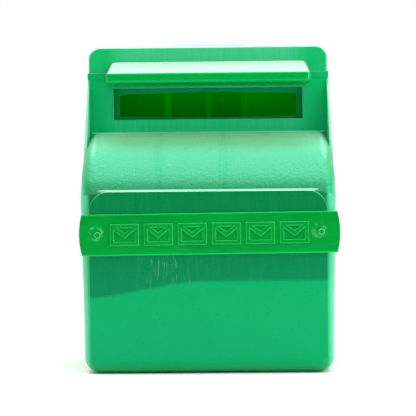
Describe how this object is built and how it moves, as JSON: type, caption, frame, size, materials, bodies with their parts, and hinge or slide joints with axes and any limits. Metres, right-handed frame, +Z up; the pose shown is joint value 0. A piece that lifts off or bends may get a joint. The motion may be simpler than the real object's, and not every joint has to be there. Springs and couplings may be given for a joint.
{
  "type": "wall mounted mailbox",
  "caption": "Wall mounted plastic mailbox with a recessed letter slot under a rain visor, a sloping shoulder, a hinged top lid and a plain sign band across the front.",
  "frame": {"origin": "middle of the back plate's centre strip, on the wall plane, half way up the overall height", "axes": "+Z up, -Y out of the wall towards the person posting a letter, +X to the right as seen from the front"},
  "size_m": [0.2596, 0.1441, 0.35],
  "materials": {
    "shell_plastic": "moulded plastic with a fine orange peel texture, satin",
    "lid_plastic": "moulded plastic with a fine orange peel texture, satin",
    "visor_plastic": "smooth moulded plastic",
    "band_plastic": "smooth moulded plastic, a yellower green",
    "steel": "zinc plated screws and pins"
  },
  "bodies": {
    "box": {"front_shell": "shell_plastic", "back_plate": "shell_plastic", "name_band": "band_plastic", "band_pin_left": "band_plastic", "band_pin_right": "band_plastic", "hinge_pin_left": "steel", "hinge_pin_right": "steel", "pin_cap_left": "steel", "pin_cap_right": "steel", "plate_screw_1": "steel", "plate_screw_2": "steel", "plate_screw_3": "steel", "plate_screw_4": "steel", "plate_screw_5": "steel", "plate_screw_6": "steel"},
    "lid": {"lid": "lid_plastic", "visor": "visor_plastic", "visor_screw_left": "steel", "visor_screw_right": "steel"}
  },
  "joints": [
    {"name": "lid_hinge", "type": "hinge", "parent": "box", "child": "lid", "pos_m": [0, -0.0105, 0.155], "axis": [-1, 0, 0], "range_deg": [0, 90]}
  ]
}
